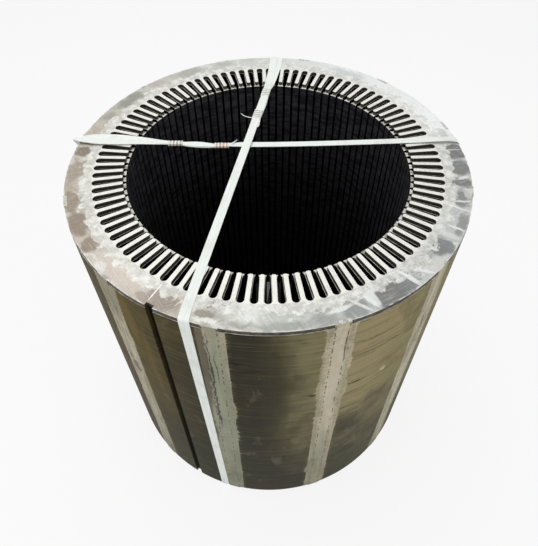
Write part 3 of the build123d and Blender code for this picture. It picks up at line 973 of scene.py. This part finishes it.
def makeFrontStrap(settings):
    w, t = settings["width"], settings["topWidth"]
    crimpNear, crimpFar = settings["crimps"]
    loop = [(-46.8, 7.8, settings["sole"], w, 80.5, 0), (-104.9, -341, settings["sole"], w, 79, 0)]
    loop.append(wallStation(settings, settings["frontFoot"], 0.2, 0.5, 76))
    for z in (12, 120, 300, 480, 640, 724):
        share = z / settings["rimHeight"]
        angle = settings["frontFoot"] * (1 - share) + settings["frontTop"] * share
        loop.append(wallStation(settings, angle, z, 0.0, 72))
    loop.append(wallStation(settings, settings["frontTop"], 736.3, 0.4, 74))
    loop += [lineStation(settings, -342, width=settings["rimWidth"])]
    loop += [lineStation(settings, y) for y in (-300, -200, -100, 0)]
    loop += [lineStation(settings, 60, 0.0), lineStation(settings, 104, 0.1)]
    loop += crimpStations(*crimpNear, t - 0.4, t - 2.2, settings["heading"])
    loop += [lineStation(settings, 184, 0.4)]
    loop += crimpStations(*crimpFar, t - 0.4, t - 2.2, settings["heading"])
    loop += [(-0.6, 255, 737.1, t, 80, 0), (4.0, 285, 737.2, t, 81, 0), (8.6, 321, 737.2, t, 83, 0),
             (11.2, 350, 737.2, t, 86, 0), (11.8, 361, 737.1, w, 88, 0), (12.0, 372.6, 736.9, w, 88, 0),
             (12.6, 372.0, 725, w, 88, 0)]
    for z in (650, 560, 380, 180, 12):
        loop.append(wallStation(settings, settings["back"], z, 0.9 if z > 640 else 0.0, 88))
    loop += [wallStation(settings, settings["back"], 0.2, 0.5, 88), (11.2, 356, settings["sole"], w, 82, 0),
             (-46.8, 7.8, settings["sole"], w, 80.5, 0)]
    main = bandAlong("strapFrontToBack", loop, crossStrapCloth, settings["thickness"], closed=True)
    # the other end of the strap lies under it from the crimps to the back, fans out there and goes over the rim
    near = tuple((x + 2.2, y, z - 1.3) for x, y, z in crimpNear)
    far = tuple((x + 1.2, y, z - 1.3) for x, y, z in crimpFar)
    under = [(-27.0, 105, 734.6, t - 1, 79, 0), (-25.6, 112, 734.6, t - 1, 79, 0)]
    under += crimpStations(*near, t - 0.6, t - 2.4, settings["heading"])
    under += [(-11.8, 184, 734.8, t, 78.6, 0)]
    under += crimpStations(*far, t - 0.6, t - 2.4, settings["heading"])
    under += [(3.4, 255, 735.8, w, 78, 0), (10.6, 285, 735.8, w, 77, 0), (17.6, 321, 735.8, w, 78, 0),
              (22.2, 350, 735.8, w, 82, 0), (23.2, 361, 735.8, w, 86, 0), (23.6, 371.0, 736.0, w, 86.4, 0),
              (23.6, 370.2, 724, w, 86.4, 0), (23.8, 370.2, 690, w, 86.4, 0), (24.4, 370.2, 655, w, 86.4, 0)]
    second = bandAlong("strapUnderEnd", under, crossStrapCloth, settings["thickness"])
    # a strand that came loose beside the near crimp
    strand = [(-29.0, 132.4, 735.6, 2.0, 0, 0), (-38.0, 133.0, 736.2, 1.8, 0, 0), (-45.0, 134.9, 736.6, 1.6, -22, 0),
              (-51.5, 139.4, 737.0, 1.4, -40, 0), (-56.4, 145.4, 737.6, 1.0, -48, 0)]
    fibre = bandAlong("strapFibre", strand, crossStrapCloth, 0.8, cuts=1)
    standFor(joinPieces(main, [second, fibre]), "strap_a")


# the strap that runs from left to right, pinched by two crimps and a little slack between them
sideStrap = {
    "width": 18,
    "thickness": 1.2,
    "wall": 370.9,
    "left": 171.0,
    "right": 8.7,
    "sole": 0.6,
    "crimps": [((-193.5, 55.2, 734.2), (-166.0, 53.8, 732.7)), ((-104.5, 51.0, 730.1), (-76.0, 52.0, 731.0))],
}


def makeSideStrap(settings):
    w = settings["width"]
    crimpLeft, crimpRight = settings["crimps"]
    loop = [(60, 56.7, 0.6, w, 0, 0), (-4, 56.9, 0.6, w, 0, 0), (-22, 56.9, 2.0, w, 0, 0), (-39, 57, 2.3, w, 0, 0),
            (-56, 57, 2.0, w, 0, 0), (-76, 57.1, 0.6, w, 0, 0), (-340, 57.8, 0.6, w, 0, 0),
            (-354, 57.8, 0.6, w, -6, 0)]
    for z in (0.2, 12, 180, 400, 620, 724):
        loop.append(wallStation(settings, settings["left"], z, 0.5 if z < 1 else 0.0, -9))
    loop += [(-366.8, 63.0, 737.4, 14, -9, 0), (-356, 65.4, 737.6, 16.6, -6, 0), (-340, 66.8, 737.8, 17, 0, 4),
             (-310, 66.6, 738.0, 16.6, 3, 8), (-280, 64.8, 737.8, 16, 6, 8), (-258, 62.2, 737.6, 15.2, 8, 4),
             (-238, 59.6, 737.2, 14, 8, 0), (-214, 56.6, 735.6, 11.6, 6, 0), (-200, 55.6, 734.6, 9.5, 3, 0)]
    loop += crimpStations(*crimpLeft, 9.6, 7.4, 2)
    loop += [(-156, 53.4, 732.2, 10.5, 2, 4), (-142, 53.2, 732.0, 12, 0, 8), (-126, 52.6, 731.4, 12.2, 2, 6),
             (-112, 51.4, 730.6, 10.6, 3, 0)]
    loop += crimpStations(*crimpRight, 9.8, 7.6, -2)
    loop += [(-66, 52.0, 731.2, 11.5, -3, 0), (-52, 52.4, 731.4, 13.5, -2, 0), (-36, 52.4, 731.2, 14, 0, 0),
             (-10, 52.4, 731.0, 14, 0, 0), (22, 52.6, 731.2, 14, 0, 0), (98, 53.6, 732.2, 14, -1, 0),
             (176, 55.2, 733.8, 14, -1, 0), (235, 56.3, 735.2, 14, -1, 0), (262, 56.6, 736.2, 14.6, 0, 0),
             (300, 56.8, 737.8, 15.4, 0, -6), (335, 57.4, 740.4, 16, 0, -10), (357, 57.2, 740.2, 16, 4, -6),
             (367.6, 56.4, 737.2, w, 8.7, 0)]
    for z in (724, 620, 400, 180, 12, 0.2):
        loop.append(wallStation(settings, settings["right"], z, 0.5 if z < 1 else 0.0, 8.7))
    loop += [(354, 56.1, 0.6, w, 6, 0), (340, 56.1, 0.6, w, 0, 0), (60, 56.7, 0.6, w, 0, 0)]
    cloth = materials["strap_cord"]
    main = bandAlong("strapLeftToRight", loop, cloth, settings["thickness"], closed=True)
    # its other end comes over the left rim beside it, waves between the crimps and ends in a pointed flap
    near = tuple((x, y - 0.4, z - 1.4) for x, y, z in crimpLeft)
    far = tuple((x, y - 0.2, z - 1.4) for x, y, z in crimpRight)
    under = [(-369.4, 60.0, 662, 10, -9, 0), (-368.8, 61.0, 700, 9, -9, 0), (-369.6, 62.0, 722, 8, -9, 0),
             (-372.4, 61.4, 732, 7.5, -9, 0), (-377.6, 59.6, 738.2, 6.5, -9, 0), (-374.6, 58.6, 740.8, 8, -6, 0),
             (-362, 57.0, 740.0, 13, -4, -6), (-340, 53.4, 738.6, 14.6, 0, -8), (-310, 51.6, 737.4, 14.4, 0, -6),
             (-280, 51.8, 737.4, 13.4, 0, -4), (-258, 52.8, 737.2, 12.6, -1, 0), (-238, 53.4, 736.4, 12, -3, 0),
             (-214, 54.2, 734.6, 10.5, -5, 0), (-200, 54.8, 733.6, 9, -3, 0)]
    under += crimpStations(*near, 9.2, 7.2, 2)
    under += [(-156, 51.8, 730.4, 9.6, 4, -6), (-142, 51.0, 729.4, 11, 2, -10), (-124, 50.4, 728.8, 11, -1, -8),
              (-112, 50.4, 729.0, 9.6, -2, 0)]
    under += crimpStations(*far, 9.4, 7.4, -2)
    under += [(-70, 53.8, 732.2, 8, -24, 0), (-65, 56.4, 735.4, 5, -36, 0), (-60.6, 58.6, 737.6, 1.6, -40, 0)]
    second = bandAlong("strapFlapEnd", under, cloth, settings["thickness"])
    standFor(joinPieces(main, [second]), "strap_b")


# seals: a sleeve with four pressed notches, made once and copied
sealSettings = {
    "length": 28.0,
    "notches": (-9.9, -3.3, 3.3, 9.9),
    "notchWidth": 2.0,
    "pinch": (1.0, 0.82, 0.60),
    "front": {
        "name": "frontStrapSeals",
        "node": "strap_a_seals",
        "width": 17.2,
        "height": 4.4,
        "drop": 0.65,        # below the middle of the strap's upper layer
    },
    "side": {
        "name": "sideStrapSeals",
        "node": "strap_b_seals",
        "width": 11.6,
        "height": 5.0,
        "drop": 0.7,
    },
}


def pickVerts(piece, test):
    mesh = bmesh.from_edit_mesh(piece.data)
    for face in mesh.faces:
        face.select = False
    for edge in mesh.edges:
        edge.select = False
    for vert in mesh.verts:
        vert.select = test(vert.co)
    mesh.select_flush(True)
    bmesh.update_edit_mesh(piece.data)


def makeSeal(settings, pair, body, groove):
    clearSelection()
    bpy.ops.mesh.primitive_cube_add(size=0.001)
    seal = bpy.context.active_object
    seal.name = pair["name"]
    bpy.ops.object.mode_set(mode="EDIT")
    bpy.ops.mesh.select_mode(type="VERT")
    bpy.ops.mesh.select_all(action="SELECT")
    bpy.ops.transform.resize(value=(settings["length"], pair["width"], pair["height"]))
    half = settings["notchWidth"] / 2
    cuts = sorted(notch + side * half for notch in settings["notches"] for side in (-1, 0, 1))
    for cut in cuts:
        bpy.ops.mesh.select_all(action="SELECT")
        bpy.ops.mesh.bisect(plane_co=(cut / 1000, 0, 0), plane_no=(1, 0, 0))
    for notch in settings["notches"]:
        pickVerts(seal, lambda co: abs(co.x - notch / 1000) < 0.0002)
        bpy.ops.transform.resize(value=settings["pinch"], center_override=(notch / 1000, 0, 0))
    bpy.ops.object.mode_set(mode="OBJECT")
    seal.data.materials.append(body)
    seal.data.materials.append(groove)
    # the faces in the notches get the darker groove colour, painted shade in the notches
    for face in seal.data.polygons:
        inNotch = any(abs(face.center.x - notch / 1000) < half / 1000 for notch in settings["notches"])
        face.material_index = 1 if inNotch else 0
    soft = seal.modifiers.new("soft", "BEVEL")
    soft.width = 0.0005
    soft.segments = 2
    soft.limit_method = "ANGLE"
    soft.angle_limit = radians(50)
    smooth = seal.modifiers.new("smooth", "SUBSURF")
    smooth.levels = smooth.render_levels = 1
    applyAll(seal)
    bpy.ops.object.shade_smooth_by_angle(angle=radians(45))
    return seal


def layCopy(seal, place, heading):
    clearSelection()
    seal.select_set(True)
    bpy.context.view_layer.objects.active = seal
    bpy.ops.object.duplicate(linked=False)
    copy = bpy.context.active_object
    bpy.ops.object.mode_set(mode="EDIT")
    bpy.ops.mesh.select_all(action="SELECT")
    turnPicked(heading, "Z", (0, 0, 0))
    bpy.ops.transform.translate(value=Vector(place) / 1000)
    bpy.ops.object.mode_set(mode="OBJECT")
    return copy


def makeSealPair(settings, pair, crimps, heading, body, grooves):
    first = makeSeal(settings, pair, body, grooves[0])
    copies = []
    for (start, end), groove in zip(crimps, grooves):
        middle = [(a + b) / 2 for a, b in zip(start, end)]
        middle[2] -= pair["drop"]
        copy = layCopy(first, middle, heading)
        copy.data.materials[1] = groove
        copies.append(copy)
    bpy.data.objects.remove(first)
    seals = joinPieces(copies[0], copies[1:])
    seals.name = pair["name"]
    standFor(seals, pair["node"])


# burrs left on the rim of the top plate, and curls of swarf beside the front strap; millimetres
burrSettings = {
    "top": 735.2,
    "thickness": 0.5,
    "curl": 12,          # degrees at each step along a sliver
    "steps": ((0.6, 1.0), (1.4, 0.8), (2.2, 0.5), (2.4, 0.2)),     # rise above the plate, and share of the width
    "slivers": [         # angle on the rim, radius, length, width, heading from outward
        (11.3, 365.5, 6, 1.6, 20),
        (1.7, 363.0, 7, 1.4, -30),
        (359.2, 367.0, 5, 1.6, 12),
        (285.9, 367.6, 4, 1.6, -25),
        (169.5, 365.8, 6, 1.5, 35),
        (168.0, 366.6, 5, 1.3, -18),
        (254.6, 338.0, 8, 1.2, 70),
        (256.2, 327.5, 9, 1.2, -60),
        (258.3, 328.5, 8, 1.1, 40),
    ],
}


def makeBurrs(settings):
    slivers = []
    for angle, radius, length, width, lean in settings["slivers"]:
        stations = []
        for step, (rise, share) in enumerate(settings["steps"]):
            way = angle + lean + settings["curl"] * step
            out = length * step / (len(settings["steps"]) - 1)
            x = radius * cos(radians(angle)) + out * cos(radians(way))
            y = radius * sin(radians(angle)) + out * sin(radians(way))
            stations.append((x, y, settings["top"] + rise, width * share, way, 0))
        slivers.append(bandAlong("burr", stations, materials["plate_steel"], settings["thickness"], cuts=0))
    burrs = joinPieces(slivers[0], slivers[1:])
    burrs.name = "rimBurrs"
    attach(burrs, "root")


makeFrontStrap(frontStrap)
makeSideStrap(sideStrap)
makeBurrs(burrSettings)
print("straps made")
makeSealPair(sealSettings, sealSettings["front"], frontStrap["crimps"], frontHeading, sealBright, [greyGroove] * 2)
makeSealPair(sealSettings, sealSettings["side"], sideStrap["crimps"], sideHeading, materials["seal_plastic"],
             [greyGroove, pinkGroove])
print("seals made")


# floor and light
stageSettings = {
    "floorSize": 30.0,
    "floorHeight": -0.0002,
    "shaded": (0.33, 0.36),      # the floor inside the core, between these radii
    "floorGlow": 0.84,
    "floorColour": (0.86, 0.86, 0.86, 1),
    "floorInsideShade": (0.10, 0.095, 0.08, 1),
    "skyStrength": 0.46,
    "top": {"place": (-0.6, 0.5, 3.2), "size": 2.6, "power": 42.0},
    "side": {"place": (2.4, -1.8, 1.6), "size": 2.0, "power": 16.0},
    "front": {"place": (-0.4, -3.2, 1.2), "size": 2.2, "power": 20.0},
    "aim": (0, 0, 0.5),          # where the lamps point
}


# 1 for rays that show the background: those of the camera, and those seen in gloss or through glass
def seenOf(tree):
    path = addNode(tree, "LightPath")
    seen = mathOf(tree, "ADD", path.outputs["Is Camera Ray"], path.outputs["Is Glossy Ray"], clamp=True)
    return mathOf(tree, "ADD", seen, path.outputs["Is Transmission Ray"], clamp=True)


def addFloor(settings):
    clearSelection()
    bpy.ops.mesh.primitive_plane_add(size=settings["floorSize"], location=(0, 0, settings["floorHeight"]))
    floor = bpy.context.active_object
    floor.name = "floor"
    material = bpy.data.materials.new("paleFloor")
    material.use_nodes = True
    tree = material.node_tree
    tree.nodes.clear()
    out = tree.nodes.new("ShaderNodeOutputMaterial")
    # under the core the floor is painted dark: painted shade, and a dusty floor colour
    point = addNode(tree, "TexCoord").outputs["Object"]
    outside = stepOf(tree, useGroup(tree, clockPlace, {"Point": point}).outputs["Radius"], *settings["shaded"])
    colour = blendOf(tree, outside, settings["floorInsideShade"], settings["floorColour"])
    matt = addNode(tree, "BsdfDiffuse", {"Color": colour})
    glow = addNode(tree, "Emission", {"Color": (1, 1, 1, 1), "Strength": 1.0})
    share = mathOf(tree, "MULTIPLY", mathOf(tree, "MULTIPLY", seenOf(tree), settings["floorGlow"]), outside)
    mixed = addNode(tree, "MixShader", {0: share, 1: matt.outputs[0], 2: glow.outputs[0]})
    tree.links.new(mixed.outputs[0], out.inputs["Surface"])
    floor.data.materials.append(material)


def addSky(settings):
    world = bpy.data.worlds.new("studio")
    scene.world = world
    world.use_nodes = True
    tree = world.node_tree
    tree.nodes.clear()
    out = tree.nodes.new("ShaderNodeOutputWorld")
    strength = addNode(tree, "MapRange", {"Value": seenOf(tree), "To Min": settings["skyStrength"], "To Max": 1.0})
    sky = addNode(tree, "Background", {"Color": (1, 1, 1, 1), "Strength": strength.outputs[0]})
    tree.links.new(sky.outputs[0], out.inputs["Surface"])


def addLamp(name, settings, target):
    data = bpy.data.lights.new(name, "AREA")
    data.shape = "DISK"
    data.size = settings["size"]
    data.energy = settings["power"]
    lamp = bpy.data.objects.new(name, data)
    scene.collection.objects.link(lamp)
    lamp.location = settings["place"]
    aim = Vector(target) - Vector(settings["place"])
    lamp.rotation_euler = aim.to_track_quat("-Z", "Y").to_euler()


addFloor(stageSettings)
addSky(stageSettings)
for name, lamp in (("softTop", "top"), ("softSide", "side"), ("softFront", "front")):
    addLamp(name, stageSettings[lamp], stageSettings["aim"])
scene.view_settings.view_transform = "Standard"
print("floor and light set")
